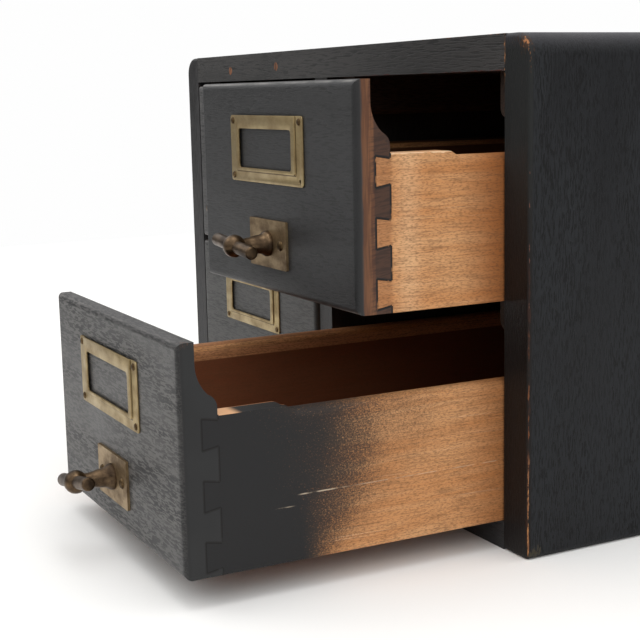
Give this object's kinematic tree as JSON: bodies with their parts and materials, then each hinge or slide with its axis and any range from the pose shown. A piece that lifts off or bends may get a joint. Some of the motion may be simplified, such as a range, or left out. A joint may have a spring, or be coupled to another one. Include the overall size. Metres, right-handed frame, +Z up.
{
  "type": "index card cabinet",
  "caption": "Tabletop wooden card cabinet with sliding dovetailed drawers in rows, brass label holders and T pulls.",
  "frame": {"origin": "on the floor under the middle of the case", "axes": "+Z up, drawer fronts face -Y, +X to the right seen from the front"},
  "size_m": [0.38, 0.576, 0.228],
  "materials": {
    "case_wood": "black stained oak",
    "front_wood": "black stained oak",
    "strip_wood": "dark stained",
    "plug_wood": "bare, worn",
    "box_wood": "bare maple, aged",
    "sheet_brass": "aged",
    "turned_bronze": "brown patina",
    "steel": "dull"
  },
  "bodies": {
    "case": {"case_side_left": "case_wood", "case_side_right": "case_wood", "case_top_rail": "case_wood", "case_top": "case_wood", "case_bottom": "case_wood", "case_divider": "case_wood", "case_back": "case_wood", "rail_plugs": "plug_wood", "runner_left_outer": "strip_wood", "kicker_left_outer": "strip_wood", "runner_left_inner": "strip_wood", "kicker_left_inner": "strip_wood", "runner_right_inner": "strip_wood", "kicker_right_inner": "strip_wood", "runner_right_outer": "strip_wood", "kicker_right_outer": "strip_wood"},
    "upper_left_drawer": {"upper_left_front": "front_wood", "upper_left_side_left": "box_wood", "upper_left_side_right": "box_wood", "upper_left_back": "box_wood", "upper_left_bottom": "box_wood", "upper_left_label_frame": "sheet_brass", "upper_left_label_pins": "sheet_brass", "upper_left_pull_plate": "sheet_brass", "upper_left_plate_screws": "sheet_brass", "upper_left_pull": "turned_bronze", "upper_left_pull_nut": "steel"},
    "upper_right_drawer": {"upper_right_front": "front_wood", "upper_right_side_left": "box_wood", "upper_right_side_right": "box_wood", "upper_right_back": "box_wood", "upper_right_bottom": "box_wood", "upper_right_label_frame": "sheet_brass", "upper_right_label_pins": "sheet_brass", "upper_right_pull_plate": "sheet_brass", "upper_right_plate_screws": "sheet_brass", "upper_right_pull": "turned_bronze", "upper_right_pull_nut": "steel"},
    "lower_left_drawer": {"lower_left_front": "front_wood", "lower_left_side_left": "box_wood", "lower_left_side_right": "box_wood", "lower_left_back": "box_wood", "lower_left_bottom": "box_wood", "lower_left_label_frame": "sheet_brass", "lower_left_label_pins": "sheet_brass", "lower_left_pull_plate": "sheet_brass", "lower_left_plate_screws": "sheet_brass", "lower_left_pull": "turned_bronze", "lower_left_pull_nut": "steel"},
    "lower_right_drawer": {"lower_right_front": "front_wood", "lower_right_side_left": "box_wood", "lower_right_side_right": "box_wood", "lower_right_back": "box_wood", "lower_right_bottom": "box_wood", "lower_right_label_frame": "sheet_brass", "lower_right_label_pins": "sheet_brass", "lower_right_pull_plate": "sheet_brass", "lower_right_plate_screws": "sheet_brass", "lower_right_pull": "turned_bronze", "lower_right_pull_nut": "steel"}
  },
  "joints": [
    {"name": "upper_left_slide", "type": "slide", "parent": "case", "child": "upper_left_drawer", "axis": [0, -1, 0], "range_m": [0, 0.3]},
    {"name": "upper_right_slide", "type": "slide", "parent": "case", "child": "upper_right_drawer", "axis": [0, -1, 0], "range_m": [-0.071, 0.229]},
    {"name": "lower_left_slide", "type": "slide", "parent": "case", "child": "lower_left_drawer", "axis": [0, -1, 0], "range_m": [0, 0.3]},
    {"name": "lower_right_slide", "type": "slide", "parent": "case", "child": "lower_right_drawer", "axis": [0, -1, 0], "range_m": [-0.1515, 0.1485]}
  ]
}
